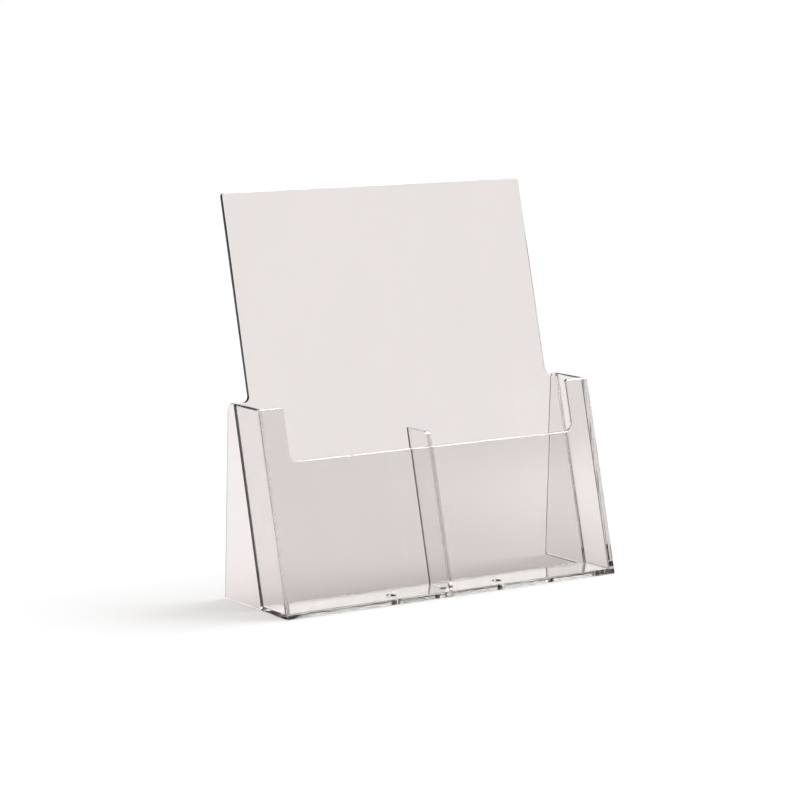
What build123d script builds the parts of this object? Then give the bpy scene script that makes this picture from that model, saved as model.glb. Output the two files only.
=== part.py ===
from build123d import *
import os
from math import sin, cos, tan, radians

os.makedirs("parts", exist_ok=True)

# Clear countertop leaflet holder: a leaning pocket made of five clear walls, with a
# lift-out divider that stands on a peg in the pocket floor.
# Millimetres, +Z up, +Y towards the back. Origin on the table plane, under the middle
# of the holder's overall box.

# ---- driving dimensions -------------------------------------------------------------
width = 232.5            # outside width over the side panels
lean = 14.0              # lean of front panel, back panel and divider from vertical, degrees
top_height = 237.3       # top front edge of the back panel above the table
upper_width = 211.5      # back panel above the side panels, one A4 sheet wide
wall_front = 2.5         # front panel thickness
wall_back = 2.5          # back panel thickness
wall_side = 2.0          # side panel thickness
floor_t = 2.5            # floor thickness
side_height = 117.3      # top of side panels and of the front panel's ears
lip_height = 87.0        # front panel's edge between its ears
ear_width = 16.45        # front panel's ears, outside face to inner edge
pocket_pitch = 28.3      # front face of front panel to front face of back panel, along Y
foot_depth = 72.2        # side panel's rear edge at the table, from the front bottom edge
shoulder_depth = 65.8    # side panel's rear edge at its top, from the front bottom edge
lip_fillet_r = 5.0       # inner corners of the front cut-out
ear_round_r = 2.5        # inner top corners of the ears
front_round_r = 0.5      # front panel's outer corners, along the lean
notch_fillet_r = 3.5     # inner corners where the back panel narrows
top_round_r = 2.5        # top corners of the back panel
heel_round_r = 5.0       # side panel's rear top corner
toe_round_r = 2.0        # side panel's rear bottom corner
socket_d = 5.5           # holes in the floor that take the divider's peg
socket_pitch = 37.65     # between the holes, about a sixth of the pocket's inside width
socket_y = 14.5          # hole centre on the floor's top, from the front bottom edge
divider_t = 3.0          # divider thickness
divider_top = 94.2       # divider's top edge above the table
divider_front = 6.5      # divider's front edge behind the front panel's outer face, along Y
divider_gap = 0.3        # clear gap between divider and back panel
divider_round_r = 3.5    # divider's front top corner
peg_d = 5.0              # divider's foot peg
peg_clear = 0.3          # peg's end above the table

# ---- derived ------------------------------------------------------------------------
a = radians(lean)
s = tan(a)
front_h = wall_front / cos(a)        # thicknesses measured along Y
back_h = wall_back / cos(a)
depth = pocket_pitch + s * top_height + wall_back * cos(a)
y0 = -depth / 2                      # front bottom edge
inner_x = width / 2 - wall_side
lip_x = width / 2 - ear_width
up = Vector(0, sin(a), cos(a))       # along the lean
out = Vector(0, -cos(a), sin(a))     # out of the front faces


def lean_plane(y):
    """Sketch plane in a leaning face that meets the table at y: X across, Y up the lean."""
    return Plane(origin=(0, y, 0), x_dir=(1, 0, 0), z_dir=out)


def slab(z_low, z_high):
    """Everything between two heights."""
    return Pos(0, 0, (z_low + z_high) / 2) * Box(600, 600, z_high - z_low)


def outline(points, plane=Plane.XY):
    return plane * make_face(Polyline(*points, close=True))


def at_corner(shape, x, z, tol=0.6):
    """Edges through a leaning plate's thickness at one corner of its outline."""
    return [
        e
        for e in shape.edges()
        if abs(e.center().X - x) < 0.05
        and abs(e.center().Z - z) < tol
        and abs(e.tangent_at(0.5).X) < 0.01
        and e.length < 4.0
    ]


# ---- front panel: full width, cut down between two ears ------------------------------
w_lip = lip_height / cos(a)
w_side = side_height / cos(a)
half = width / 2
front_face = lean_plane(y0) * make_face(
    Polyline(
        (-half, -4), (half, -4), (half, w_side + 4), (lip_x, w_side + 4), (lip_x, w_lip),
        (-lip_x, w_lip), (-lip_x, w_side + 4), (-half, w_side + 4), close=True,
    )
)
front_panel = extrude(front_face, amount=-wall_front) & slab(0, side_height)
lip_z = lip_height - wall_front * sin(a) / 2
front_panel = fillet(
    at_corner(front_panel, lip_x, lip_z) + at_corner(front_panel, -lip_x, lip_z), lip_fillet_r
)
front_panel = fillet(
    at_corner(front_panel, lip_x, side_height) + at_corner(front_panel, -lip_x, side_height),
    ear_round_r,
)
outer_corners = [
    e
    for e in front_panel.edges()
    if abs(abs(e.center().X) - half) < 0.01
    and e.length > 50
    and abs(e.center().Y - y0 - s * e.center().Z) < 0.05
]
front_panel = fillet(outer_corners, front_round_r)

# ---- back panel: stands on the floor between the sides, narrower above them ----------
w_top = top_height / cos(a)
w_shoulder = (side_height + wall_back * sin(a)) / cos(a)
uh = upper_width / 2
back_sketch = make_face(
    Polyline(
        (-inner_x, -4), (inner_x, -4), (inner_x, w_shoulder), (uh, w_shoulder), (uh, w_top),
        (-uh, w_top), (-uh, w_shoulder), (-inner_x, w_shoulder), close=True,
    )
)
notch_corners = [v for v in back_sketch.vertices() if abs(abs(v.X) - uh) < 0.01 and abs(v.Y - w_shoulder) < 0.01]
back_sketch = fillet(notch_corners, notch_fillet_r)
top_corners = [v for v in back_sketch.vertices() if abs(v.Y - w_top) < 0.01]
back_sketch = fillet(top_corners, top_round_r)
back_panel = extrude(lean_plane(y0 + pocket_pitch) * back_sketch, amount=-wall_back) & slab(floor_t, 400)

# ---- side panels: from the front panel's inner face to a foot behind the back panel ---
side_plane = Plane(origin=(0, y0, 0), x_dir=(0, 1, 0), z_dir=(1, 0, 0))
side_sketch = make_face(
    Polyline(
        (front_h, 0), (foot_depth, 0), (shoulder_depth, side_height),
        (front_h + s * side_height, side_height), close=True,
    )
)
heel = [v for v in side_sketch.vertices() if abs(v.X - shoulder_depth) < 0.01 and v.Y > 50]
side_sketch = fillet(heel, heel_round_r)
toe = [v for v in side_sketch.vertices() if abs(v.X - foot_depth) < 0.01 and v.Y < 1]
side_sketch = fillet(toe, toe_round_r)
side_solid = extrude(side_plane * side_sketch, amount=wall_side)
left_side_panel = Pos(-half, 0, 0) * side_solid
right_side_panel = Pos(inner_x, 0, 0) * side_solid

# ---- floor: between the sides, from the front panel to the back panel's rear face -----
floor_sketch = make_face(
    Polyline(
        (front_h, 0), (pocket_pitch + back_h, 0),
        (pocket_pitch + back_h + s * floor_t, floor_t), (front_h + s * floor_t, floor_t), close=True,
    )
)
floor_panel = Pos(-inner_x, 0, 0) * extrude(side_plane * floor_sketch, amount=2 * inner_x)
for x in (-socket_pitch, 0, socket_pitch):
    on_top = Vector(x, y0 + socket_y, floor_t)
    tool = Solid.make_cylinder(
        socket_d / 2, 40, Plane(origin=on_top - up * 20, x_dir=(1, 0, 0), z_dir=up)
    )
    floor_panel = floor_panel - tool

# ---- divider: thin upright plate with a round peg under it ----------------------------
back_line = pocket_pitch - divider_gap / cos(a)
divider_sketch = make_face(
    Polyline(
        (divider_front + s * floor_t, floor_t), (back_line + s * floor_t, floor_t),
        (back_line + s * divider_top, divider_top), (divider_front + s * divider_top, divider_top),
        close=True,
    )
)
nose = [
    v for v in divider_sketch.vertices()
    if abs(v.X - divider_front - s * divider_top) < 0.01 and v.Y > 50
]
divider_sketch = fillet(nose, divider_round_r)
divider_plate = Pos(-divider_t / 2, 0, 0) * extrude(side_plane * divider_sketch, amount=divider_t)
peg_axis = Plane(origin=Vector(0, y0 + socket_y, floor_t) - up * 20, x_dir=(1, 0, 0), z_dir=up)
peg = Solid.make_cylinder(peg_d / 2, 40, peg_axis) & slab(peg_clear, floor_t)
divider = divider_plate + peg

nodes = {
    "front_panel": front_panel,
    "back_panel": back_panel,
    "left_side_panel": left_side_panel,
    "right_side_panel": right_side_panel,
    "floor_panel": floor_panel,
    "divider": divider,
}
for name, shape in nodes.items():
    solid = shape.solids()[0]
    export_step(solid, f"parts/{name}.step")
    bb = solid.bounding_box()
    print(name, len(shape.solids()), round(solid.volume, 1), bb.min, bb.max)
print("depth", depth, "lean axis", tuple(up))
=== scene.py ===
import math

import bmesh
import bpy
from mathutils import Matrix, Vector


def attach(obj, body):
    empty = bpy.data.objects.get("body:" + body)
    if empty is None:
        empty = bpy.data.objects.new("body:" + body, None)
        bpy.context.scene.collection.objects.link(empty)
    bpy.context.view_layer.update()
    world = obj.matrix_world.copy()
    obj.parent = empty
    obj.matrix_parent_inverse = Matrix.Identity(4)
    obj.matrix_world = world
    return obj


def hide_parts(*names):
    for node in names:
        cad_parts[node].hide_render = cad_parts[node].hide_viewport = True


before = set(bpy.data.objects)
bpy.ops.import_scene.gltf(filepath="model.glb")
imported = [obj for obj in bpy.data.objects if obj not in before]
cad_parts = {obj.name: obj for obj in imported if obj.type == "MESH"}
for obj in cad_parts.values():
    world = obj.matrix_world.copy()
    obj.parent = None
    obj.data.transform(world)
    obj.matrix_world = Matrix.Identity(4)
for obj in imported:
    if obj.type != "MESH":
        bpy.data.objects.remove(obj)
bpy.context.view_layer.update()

# ---------------------------------------------------------------------------------------
# Dimensions, millimetres, the same ones the CAD uses
# ---------------------------------------------------------------------------------------
WIDTH, LEAN, TOP = 232.5, math.radians(14.0), 237.3
UPPER, WALL_F, WALL_B, WALL_S, FLOOR = 211.5, 2.5, 2.5, 2.0, 2.5
SIDE_Z, LIP_Z, EAR, PITCH = 117.3, 87.0, 16.45, 28.3
FOOT_Y, SHOULDER_Y = 72.2, 65.8
SOCKET_R, SOCKET_X, SOCKET_Y = 2.75, 37.65, 14.5
S, C, SN = math.tan(LEAN), math.cos(LEAN), math.sin(LEAN)
FRONT_H, BACK_H = WALL_F / C, WALL_B / C
DEPTH = PITCH + S * TOP + WALL_B * C
Y0 = -DEPTH / 2
HALF, INNER, LIP_X, UP_X = WIDTH / 2, WIDTH / 2 - WALL_S, WIDTH / 2 - EAR, UPPER / 2
UP = Vector((0, SN, C))
OUT = Vector((0, -C, SN))

scene = bpy.context.scene


# ---------------------------------------------------------------------------------------
# Mesh helpers
# ---------------------------------------------------------------------------------------
def rounded(points, radii, seg=8):
    """A closed outline with its corners rounded by tangent arcs."""
    out = []
    n = len(points)
    for i, (p, r) in enumerate(zip(points, radii)):
        p = Vector(p)
        a, b = Vector(points[i - 1]), Vector(points[(i + 1) % n])
        if r <= 0:
            out.append(p)
            continue
        u, v = (a - p).normalized(), (b - p).normalized()
        half = math.acos(max(-1, min(1, u.dot(v)))) / 2
        cut = r / math.tan(half)
        centre = p + (u + v).normalized() * (r / math.sin(half))
        start, end = p + u * cut - centre, p + v * cut - centre
        sweep = math.pi - 2 * half
        turn = 1 if start.x * end.y - start.y * end.x > 0 else -1
        for k in range(seg + 1):
            t = turn * sweep * k / seg
            out.append(
                centre
                + Vector(
                    (
                        start.x * math.cos(t) - start.y * math.sin(t),
                        start.x * math.sin(t) + start.y * math.cos(t),
                    )
                )
            )
    return out


def loft(low, high):
    """Closed prism between two outlines of the same length, as a bmesh."""
    bm = bmesh.new()
    a = [bm.verts.new(p) for p in low]
    b = [bm.verts.new(p) for p in high]
    n = len(a)
    bm.faces.new(list(reversed(a)))
    bm.faces.new(b)
    for i in range(n):
        j = (i + 1) % n
        bm.faces.new((a[i], a[j], b[j], b[i]))
    bmesh.ops.recalc_face_normals(bm, faces=bm.faces)
    return bm


def across(outline, x0, x1):
    """Outline in (y, z) from the front bottom edge, carried along X."""
    return loft(
        [(x0, Y0 + p[0], p[1]) for p in outline], [(x1, Y0 + p[0], p[1]) for p in outline]
    )


def leaning(outline, y, d0, d1):
    """Outline in (x, up the lean), carried through a leaning wall from depth d0 to d1."""
    base = Vector((0, Y0 + y, 0))
    at = lambda p, d: base + Vector((p[0], 0, 0)) + UP * p[1] - OUT * d
    return loft([at(p, d0) for p in outline], [at(p, d1) for p in outline])


def as_object(bm, name):
    me = bpy.data.meshes.new(name)
    bm.to_mesh(me)
    bm.free()
    ob = bpy.data.objects.new(name, me)
    scene.collection.objects.link(ob)
    return ob


def combine(ob, tool, operation):
    """Exact boolean of ob with a bmesh or another object, kept in ob."""
    if isinstance(tool, bmesh.types.BMesh):
        tool = as_object(tool, "tool")
    m = ob.modifiers.new("combine", "BOOLEAN")
    m.operation, m.solver, m.object = operation, "EXACT", tool
    dg = bpy.context.evaluated_depsgraph_get()
    made = bpy.data.meshes.new_from_object(ob.evaluated_get(dg))
    ob.modifiers.clear()
    old, ob.data = ob.data, made
    bpy.data.meshes.remove(old)
    gone = tool.data
    bpy.data.objects.remove(tool)
    bpy.data.meshes.remove(gone)


def tidy(bm):
    bmesh.ops.remove_doubles(bm, verts=bm.verts, dist=1e-3)
    bmesh.ops.dissolve_limit(
        bm, angle_limit=math.radians(0.4), verts=bm.verts, edges=bm.edges, delimit=set()
    )
    bmesh.ops.recalc_face_normals(bm, faces=bm.faces)
    if bm.calc_volume(signed=True) < 0:
        bmesh.ops.reverse_faces(bm, faces=bm.faces)
    bm.normal_update()


def round_edges(bm, edges, radius, segments):
    bmesh.ops.bevel(
        bm, geom=edges, offset=radius, offset_type="OFFSET", segments=segments, profile=0.5,
        affect="EDGES", clamp_overlap=False,
    )
    bm.normal_update()


def edges_at(bm, test):
    """Edges with both ends where the test says, that don't run across the whole part."""
    return [
        e for e in bm.edges
        if all(test(v.co.x, v.co.y - Y0, v.co.z) for v in e.verts)
        and abs(e.verts[0].co.x - e.verts[1].co.x) < 5
    ]


def soften(ob, bm, width_of, segments, angle=50):
    """Rounds every outer edge sharper than the angle, each by its own width."""
    layer = bm.edges.layers.float.new("bevel_weight_edge")
    for e in bm.edges:
        if e.is_manifold and e.is_convex and e.calc_face_angle(0) > math.radians(angle):
            e[layer] = width_of(e)
    bm.to_mesh(ob.data)
    m = ob.modifiers.new("edges", "BEVEL")
    m.limit_method, m.offset_type, m.width = "WEIGHT", "OFFSET", 1.0
    m.segments, m.use_clamp_overlap, m.loop_slide = segments, False, True
    dg = bpy.context.evaluated_depsgraph_get()
    made = bpy.data.meshes.new_from_object(ob.evaluated_get(dg))
    ob.modifiers.clear()
    old, ob.data = ob.data, made
    bpy.data.meshes.remove(old)
    bm.clear()
    bm.from_mesh(ob.data)
    bm.normal_update()


def finish_mesh(ob, bm):
    """Millimetres to metres, smooth shading with the flat faces kept flat."""
    bmesh.ops.scale(bm, vec=(0.001,) * 3, verts=bm.verts)
    bmesh.ops.recalc_face_normals(bm, faces=bm.faces)
    if bm.calc_volume(signed=True) < 0:
        bmesh.ops.reverse_faces(bm, faces=bm.faces)
    for f in bm.faces:
        f.smooth = True
    for e in bm.edges:
        e.smooth = e.calc_face_angle(0) < math.radians(48)
    bm.to_mesh(ob.data)
    bm.free()
    m = ob.modifiers.new("flat_faces", "WEIGHTED_NORMAL")
    m.mode, m.weight, m.keep_sharp = "FACE_AREA", 100, True
    return ob


# ---------------------------------------------------------------------------------------
# The clear body: one moulding, cut out of a leaning block
# ---------------------------------------------------------------------------------------
far = 330.0


def on_top(d):
    """A point of the back panel's top face, d behind its front edge."""
    return (PITCH + S * TOP + d * C, TOP - d * SN)


rear_slope = (SHOULDER_Y - FOOT_Y) / SIDE_Z
kink = SIDE_Z + 2.0
block = rounded(
    [
        (0, 0), (FOOT_Y, 0), (FOOT_Y + rear_slope * kink, kink),
        (PITCH + BACK_H + 1 + S * kink, kink), on_top(WALL_B + C), on_top(-PITCH * C),
    ],
    [0, 2.0, 0, 0, 0, 0], 6,
)
body = as_object(across(block, -HALF, HALF), "holder_body")

# pocket, with rounded inner corners
pocket = across(
    [
        (FRONT_H + S * FLOOR, FLOOR), (PITCH + S * FLOOR, FLOOR),
        (PITCH + S * far, far), (FRONT_H + S * far, far),
    ],
    -INNER, INNER,
)
tall = [e for e in pocket.edges if abs(e.verts[0].co.z - e.verts[1].co.z) > 100]
at_front = [e for e in tall if min(v.co.y for v in e.verts) < Y0 + FRONT_H + 5]
round_edges(pocket, at_front, 2.0, 8)
tall = [e for e in pocket.edges if abs(e.verts[0].co.z - e.verts[1].co.z) > 100]
at_back = [
    e for e in tall
    if abs(min(v.co.y for v in e.verts) - Y0 - PITCH - S * FLOOR) < 0.1 and abs(e.verts[0].co.x) > INNER - 0.1
]
round_edges(pocket, at_back, 1.5, 6)
round_edges(pocket, [e for e in pocket.edges if max(v.co.z for v in e.verts) < FLOOR + 0.1], 0.3, 3)
combine(body, pocket, "DIFFERENCE")

# open space behind the back panel, between the feet
rear = across(
    [
        (PITCH + BACK_H - S * 20, -20), (250, -20), (250, far), (PITCH + BACK_H + S * far, far),
    ],
    -INNER, INNER,
)
lean_edges = [
    e for e in rear.edges
    if abs(e.verts[0].co.z - e.verts[1].co.z) > 100 and max(v.co.y for v in e.verts) < 200 + Y0
]
round_edges(rear, lean_edges, 0.5, 4)
combine(body, rear, "DIFFERENCE")

# everything above the side panels goes, but for the narrower upper back panel
flare = 3.5
keep_side = [
    (UP_X + flare - flare * math.cos(t), SIDE_Z + flare - flare * math.sin(t))
    for t in (math.radians(86) * k / 12 for k in range(13))
]
last = keep_side[-1]
keep_side = [(UP_X, far)] + keep_side + [
    (last[0] + 30 * math.sin(math.radians(86)), last[1] - 30 * math.cos(math.radians(86)))
]
keep = [(x, z) for x, z in keep_side] + [(-x, z) for x, z in reversed(keep_side)]
above = as_object(
    across([(-90, SIDE_Z), (260, SIDE_Z), (260, far - 20), (-90, far - 20)], -HALF - 15, HALF + 15), "above"
)
combine(
    above,
    loft(
        [(x, Y0 + FRONT_H + 12 + S * z, z) for x, z in keep], [(x, Y0 + 290, z) for x, z in keep]
    ),
    "DIFFERENCE",
)
combine(body, above, "DIFFERENCE")

# cut-out between the ears of the front panel
w_lip = LIP_Z / C
cut = rounded(
    [(-LIP_X, w_lip), (LIP_X, w_lip), (LIP_X, 170), (-LIP_X, 170)], [5.0, 5.0, 0, 0], 10
)
combine(body, leaning(cut, 0, -12, WALL_F + 6), "DIFFERENCE")


# floor holes, along the lean
def ring_at(x, radius, n=48):
    centre = Vector((x, Y0 + SOCKET_Y, FLOOR))
    turns = (2 * math.pi * (k + 0.5) / n for k in range(n))
    return [centre + Vector((radius * math.cos(t), 0, 0)) + OUT * (radius * math.sin(t)) for t in turns]


for x in (-SOCKET_X, 0.0, SOCKET_X):
    ring = ring_at(x, SOCKET_R)
    combine(body, loft([p - UP * 12 for p in ring], [p + UP * 12 for p in ring]), "DIFFERENCE")

bm = bmesh.new()
bm.from_mesh(body.data)
tidy(bm)
round_edges(
    bm,
    edges_at(bm, lambda x, y, z: abs(z - SIDE_Z) < 0.02 and abs(y - SHOULDER_Y) < 0.05),
    5.0, 10,
)
round_edges(
    bm,
    edges_at(bm, lambda x, y, z: abs(z - SIDE_Z) < 0.02 and abs(abs(x) - LIP_X) < 0.02),
    2.5, 8,
)
round_edges(
    bm,
    edges_at(bm, lambda x, y, z: z > TOP - 2 and abs(abs(x) - UP_X) < 0.02),
    2.5, 8,
)
bmesh.ops.remove_doubles(bm, verts=bm.verts, dist=0.09)
bm.normal_update()


# edges whose rounding changes along their length are cut into steps: the front edges of the
# upper back panel and the outer top and bottom edges of the side panels
def steps(test, least):
    for e in [
        e for e in bm.edges
        if e.calc_length() > least and all(test(abs(v.co.x), v.co.y - Y0, v.co.z) for v in e.verts)
    ]:
        bmesh.ops.subdivide_edges(bm, edges=[e], cuts=11)
    bm.normal_update()


steps(lambda x, y, z: abs(x - UP_X) < 0.02 and abs(y - PITCH - S * z) < 0.05, 60)
steps(lambda x, y, z: abs(x - HALF) < 0.02 and abs(z - SIDE_Z) < 0.02, 15)
steps(lambda x, y, z: abs(x - HALF) < 0.02 and abs(z) < 0.02, 15)


def body_width(e):
    """Edge rounding of the moulding, by where the edge lies."""
    mid = (e.verts[0].co + e.verts[1].co) / 2
    x, y, z = abs(mid.x), mid.y - Y0, mid.z
    front = y - S * z < FRONT_H - 0.3
    if z < 4 and math.hypot(x - SOCKET_X * round(x / SOCKET_X), y - SOCKET_Y) < 4:
        return 0.12
    if x > HALF - 0.05 and z > SIDE_Z - 0.05:
        return 1.0 + 0.7 * min(1.0, max(0.0, (58 - y) / 12))
    if x > HALF - 0.05 and not front:
        return 0.25 + 0.75 * min(1.0, max(0.0, (y - 6) / 15)) if z < 0.05 else 1.0
    if x > HALF - 0.05 or z < 0.05:
        return 0.25
    if front:
        return 1.0
    if z > SIDE_Z + 4 and y < PITCH + S * z + 1.2:
        return 0.2 + 0.8 * min(1.0, max(0.0, (z - SIDE_Z - 15) / 80))
    if z > TOP - 3.3:
        return 0.2 - 0.14 * min(1.0, max(0.0, (z - (TOP - 3.1)) / 2.3))
    return 0.2


soften(body, bm, body_width, 3)
finish_mesh(body, bm)

# ---------------------------------------------------------------------------------------
# Divider: thin plate with a round foot peg
# ---------------------------------------------------------------------------------------
D_T, D_TOP, D_FRONT, D_GAP, D_R, PEG_R = 3.0, 94.2, 6.5, 0.3, 3.5, 2.5
D_FOOT = FLOOR + 0.06
back_line = PITCH - D_GAP / C
plate = rounded(
    [
        (D_FRONT + S * D_FOOT, D_FOOT), (back_line + S * D_FOOT, D_FOOT),
        (back_line + S * D_TOP, D_TOP), (D_FRONT + S * D_TOP, D_TOP),
    ],
    [0, 0, 0, D_R], 10,
)
divider = as_object(across(plate, -D_T / 2, D_T / 2), "divider_plate")


def on_level(p, z):
    """The point of a line along the lean through p that is at height z."""
    return p + UP * ((z - p.z) / C)


ring = ring_at(0, PEG_R)
combine(
    divider,
    loft([on_level(p, 0.3) for p in ring], [on_level(p, D_FOOT + 0.3) for p in ring]),
    "UNION",
)
bm = bmesh.new()
bm.from_mesh(divider.data)
tidy(bm)
bmesh.ops.remove_doubles(bm, verts=bm.verts, dist=0.03)
bm.normal_update()
soften(divider, bm, lambda e: 0.0 if (e.verts[0].co + e.verts[1].co).z / 2 < D_FOOT + 0.5 else 0.2, 3)
finish_mesh(divider, bm)


# ---------------------------------------------------------------------------------------
# Materials
# ---------------------------------------------------------------------------------------
def clear_plastic(name, low, high, absorb, shade, seed):
    """Clear moulded plastic: tinted through its thickness, with faint flow streaks in the
    colour, hairline wear in the gloss and a trace of waviness in the surface."""
    mat = bpy.data.materials.new(name)
    mat.use_nodes = True
    nt = mat.node_tree
    nt.nodes.clear()

    def node(kind, **values):
        n = nt.nodes.new("ShaderNode" + kind)
        for key, value in values.items():
            n.inputs[key.replace("_", " ")].default_value = value
        return n

    def link(a, b):
        nt.links.new(a, b)

    where = node("TexCoord")
    place = node("Mapping", Location=(seed, seed * 0.7, -seed), Scale=(1.0, 1.0, 0.35))
    link(where.outputs["Object"], place.inputs["Vector"])

    # flow streaks and clouding in the colour
    flow = node("TexNoise", Scale=22.0, Detail=4.0, Roughness=0.55, Distortion=0.6)
    link(place.outputs[0], flow.inputs["Vector"])
    colour = nt.nodes.new("ShaderNodeValToRGB")
    colour.color_ramp.elements[0].position, colour.color_ramp.elements[0].color = 0.30, (*low, 1)
    colour.color_ramp.elements[1].position, colour.color_ramp.elements[1].color = 0.68, (*high, 1)
    link(flow.outputs["Fac"], colour.inputs["Fac"])

    # hairline wear: thin stretched noise, only its crests
    thin = node("Mapping", Rotation=(0.3, 0.2, 0.5), Scale=(260.0, 90.0, 24.0))
    link(where.outputs["Object"], thin.inputs["Vector"])
    hair = node("TexNoise", Scale=1.0, Detail=3.0, Roughness=0.6, Distortion=0.3)
    link(thin.outputs[0], hair.inputs["Vector"])
    gloss = node("MapRange", From_Min=0.60, From_Max=0.78, To_Min=0.0, To_Max=0.035)
    link(hair.outputs["Fac"], gloss.inputs["Value"])

    # slow waviness of the moulded faces
    wave = node("TexNoise", Scale=16.0, Detail=1.0, Roughness=0.4)
    link(where.outputs["Object"], wave.inputs["Vector"])
    bump = node("Bump", Strength=0.05, Distance=0.0006)
    link(wave.outputs["Fac"], bump.inputs["Height"])

    bsdf = node("BsdfPrincipled", Transmission_Weight=1.0, IOR=1.57)
    link(colour.outputs["Color"], bsdf.inputs["Base Color"])
    link(gloss.outputs[0], bsdf.inputs["Roughness"])
    link(bump.outputs[0], bsdf.inputs["Normal"])

    # light on its way to a lamp or to the table passes straight through, a little dimmed
    clear = node("BsdfTransparent", Color=(*shade, 1))
    path = node("LightPath")
    inner, outer = node("MixShader"), node("MixShader")
    link(path.outputs["Is Diffuse Ray"], inner.inputs[0])
    link(bsdf.outputs[0], inner.inputs[1])
    link(clear.outputs[0], inner.inputs[2])
    link(path.outputs["Is Shadow Ray"], outer.inputs[0])
    link(inner.outputs[0], outer.inputs[1])
    link(clear.outputs[0], outer.inputs[2])
    out = node("OutputMaterial")
    link(outer.outputs[0], out.inputs["Surface"])
    depth = node("VolumeAbsorption", Color=(*absorb[:3], 1), Density=absorb[3])
    link(depth.outputs[0], out.inputs["Volume"])
    return mat


SHADE = (0.890, 0.880, 0.875)
ABSORB = (0.10, 0.05, 0.0, 5.0)
body.data.materials.clear()
body.data.materials.append(
    clear_plastic("clear_body", (0.922, 0.916, 0.902), (0.938, 0.932, 0.920), ABSORB, SHADE, 3.1)
)
divider.data.materials.clear()
divider.data.materials.append(
    clear_plastic("clear_divider", (0.950, 0.945, 0.935), (0.966, 0.962, 0.952), ABSORB, SHADE, 7.4)
)

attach(body, "holder")
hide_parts("front_panel", "back_panel", "left_side_panel", "right_side_panel", "floor_panel")
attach(divider, "divider")
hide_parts("divider")

# ---------------------------------------------------------------------------------------
# Stage: pale floor with painted light and shade, soft light
# ---------------------------------------------------------------------------------------
bm = bmesh.new()
R = 9.0
ring = [bm.verts.new((R * math.cos(t), R * math.sin(t), -0.0003)) for t in (2 * math.pi * k / 64 for k in range(64))]
bm.faces.new(ring)
floor = as_object(bm, "stage_floor")
fm = bpy.data.materials.new("stage_white")
fm.use_nodes = True
fn = fm.node_tree
fn.nodes.clear()
fo = fn.nodes.new("ShaderNodeOutputMaterial")
pale = fn.nodes.new("ShaderNodeBsdfDiffuse")
fn.links.new(pale.outputs[0], fo.inputs["Surface"])
# painted pool of light: the floor is paler around (0.40, 0.12) and fades out from there
pool_centre_distance = fn.nodes.new("ShaderNodeVectorMath")
pool_centre_distance.operation = "DISTANCE"
pool_centre_distance.inputs[1].default_value = (0.40, 0.12, 0.0)
fn.links.new(fn.nodes.new("ShaderNodeNewGeometry").outputs["Position"], pool_centre_distance.inputs[0])
painted_light_pool = fn.nodes.new("ShaderNodeMapRange")
painted_light_pool.interpolation_type = "SMOOTHSTEP"
for key, value in (("From Min", 0.05), ("From Max", 0.32), ("To Min", 0.68), ("To Max", 0.532)):
    painted_light_pool.inputs[key].default_value = value
fn.links.new(pool_centre_distance.outputs["Value"], painted_light_pool.inputs["Value"])


def calc(operation, a, b):
    n = fn.nodes.new("ShaderNodeMath")
    n.operation = operation
    for socket, value in zip(n.inputs, (a, b)):
        if hasattr(value, "default_value"):
            fn.links.new(value, socket)
        else:
            socket.default_value = value
    return n.outputs[0]


# painted shade: light that turned back inside the plastic finds the table in front of the holder painted dark
ray = fn.nodes.new("ShaderNodeLightPath").outputs
at = fn.nodes.new("ShaderNodeSeparateXYZ")
fn.links.new(fn.nodes.new("ShaderNodeNewGeometry").outputs["Position"], at.inputs[0])
ahead = calc("LESS_THAN", at.outputs["Y"], -0.03)
turned = calc("MULTIPLY", calc("GREATER_THAN", ray["Glossy Depth"], 0.5), ahead)
dim = calc("MULTIPLY", turned, -0.85)
painted_table_light = calc("MULTIPLY", painted_light_pool.outputs[0], calc("ADD", dim, 1.0))
# painted warm cast of the light, with the painted pool and shade, on the floor seen through the plastic; camera rays
# see an even pale floor
painted_warm_cast = fn.nodes.new("ShaderNodeMix")
painted_warm_cast.data_type, painted_warm_cast.blend_type = "RGBA", "MULTIPLY"
painted_warm_cast.inputs[0].default_value = 1.0
fn.links.new(painted_table_light, painted_warm_cast.inputs[6])
painted_warm_cast.inputs[7].default_value = (1.0, 0.945, 0.950, 1)
seen = fn.nodes.new("ShaderNodeMix")
seen.data_type = "RGBA"
fn.links.new(ray["Is Camera Ray"], seen.inputs[0])
fn.links.new(painted_warm_cast.outputs[2], seen.inputs[6])
seen.inputs[7].default_value = (0.565, 0.565, 0.565, 1)
fn.links.new(seen.outputs[2], pale.inputs["Color"])
floor.data.materials.append(fm)

world = bpy.data.worlds.new("studio")
scene.world = world
world.use_nodes = True
wn = world.node_tree
wn.nodes.clear()
wo = wn.nodes.new("ShaderNodeOutputWorld")
geo = wn.nodes.new("ShaderNodeTexCoord")
sep = wn.nodes.new("ShaderNodeSeparateXYZ")
wn.links.new(geo.outputs["Generated"], sep.inputs[0])


def ramp(socket, x0, x1, y0, y1):
    n = wn.nodes.new("ShaderNodeMapRange")
    n.interpolation_type = "SMOOTHSTEP"
    n.inputs["From Min"].default_value, n.inputs["From Max"].default_value = x0, x1
    for key, value in (("To Min", y0), ("To Max", y1)):
        if hasattr(value, "default_value"):
            wn.links.new(value, n.inputs[key])
        else:
            n.inputs[key].default_value = value
    wn.links.new(socket, n.inputs["Value"])
    return n.outputs[0]


def toward(x, y, z):
    """How far a direction points towards (x, y, z): 1 straight at it."""
    n = wn.nodes.new("ShaderNodeVectorMath")
    n.operation = "DOT_PRODUCT"
    wn.links.new(geo.outputs["Generated"], n.inputs[0])
    n.inputs[1].default_value = Vector((x, y, z)).normalized()
    return n.outputs["Value"]


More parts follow.
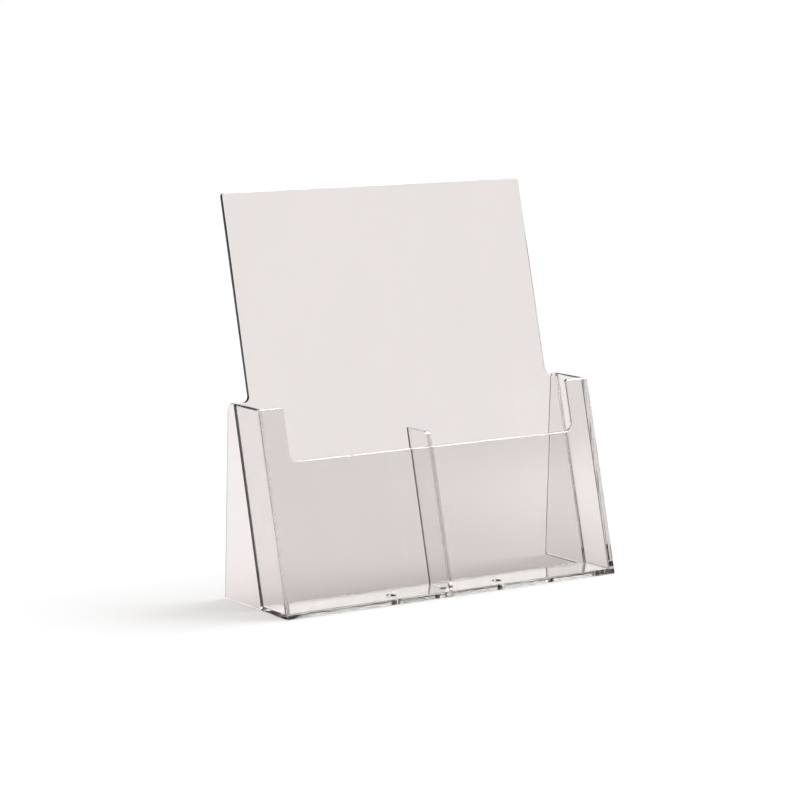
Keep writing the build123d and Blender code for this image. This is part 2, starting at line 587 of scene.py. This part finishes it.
# a dim room, bright paper behind and a soft box overhead
X, Y, Z = sep.outputs["X"], sep.outputs["Y"], sep.outputs["Z"]
room = 0.05
paper = 1.85
behind = ramp(toward(0.54, 0.83, 0.0), 0.86, 0.96, room, paper)
level = ramp(Z, 0.22, 0.34, behind, room)
sky = ramp(Z, 0.80, 0.92, level, 1.9)
bg = wn.nodes.new("ShaderNodeBackground")
wn.links.new(sky, bg.inputs["Strength"])
bg.inputs["Color"].default_value = (1, 1, 1, 1)
white = wn.nodes.new("ShaderNodeBackground")
white.inputs["Color"].default_value = (1, 1, 1, 1)
white.inputs["Strength"].default_value = 1.0
lp = wn.nodes.new("ShaderNodeLightPath")
mx = wn.nodes.new("ShaderNodeMixShader")
wn.links.new(lp.outputs["Is Camera Ray"], mx.inputs[0])
wn.links.new(bg.outputs[0], mx.inputs[1])
wn.links.new(white.outputs[0], mx.inputs[2])
wn.links.new(mx.outputs[0], wo.inputs["Surface"])

key_data = bpy.data.lights.new("key", "SUN")
key_data.energy, key_data.angle = 5.2, math.radians(38)
key = bpy.data.objects.new("key", key_data)
scene.collection.objects.link(key)
key.rotation_mode = "QUATERNION"
key.rotation_quaternion = Vector((-0.85, 0.02, -1.05)).to_track_quat("-Z", "Y")

# ---------------------------------------------------------------------------------------
# Camera
# ---------------------------------------------------------------------------------------
AZ, EL, ROLL, DIST, FOCAL = math.radians(-33.0), math.radians(8.36), math.radians(-0.3), 1.75345, 2961.9
target = Vector((-0.0134, (Y0 + 40.0) / 1000, 0.11303))
back = Vector((math.sin(AZ) * math.cos(EL), -math.cos(AZ) * math.cos(EL), math.sin(EL)))
cam_data = bpy.data.cameras.new("camera")
cam = bpy.data.objects.new("camera", cam_data)
scene.collection.objects.link(cam)
cam.location = target + back * DIST
cam.rotation_mode = "QUATERNION"
cam.rotation_quaternion = (-back).to_track_quat("-Z", "Y") @ Matrix.Rotation(ROLL, 4, "Z").to_quaternion()
cam_data.sensor_width = 36.0
cam_data.lens = FOCAL / 800 * 36.0
cam_data.clip_start, cam_data.clip_end = 0.05, 60.0
scene.camera = cam

scene.view_settings.view_transform = "Standard"
scene.cycles.max_bounces = 32
scene.cycles.transmission_bounces = 32
scene.cycles.glossy_bounces = 16
scene.cycles.transparent_max_bounces = 32
scene.cycles.caustics_refractive = False
scene.cycles.caustics_reflective = False
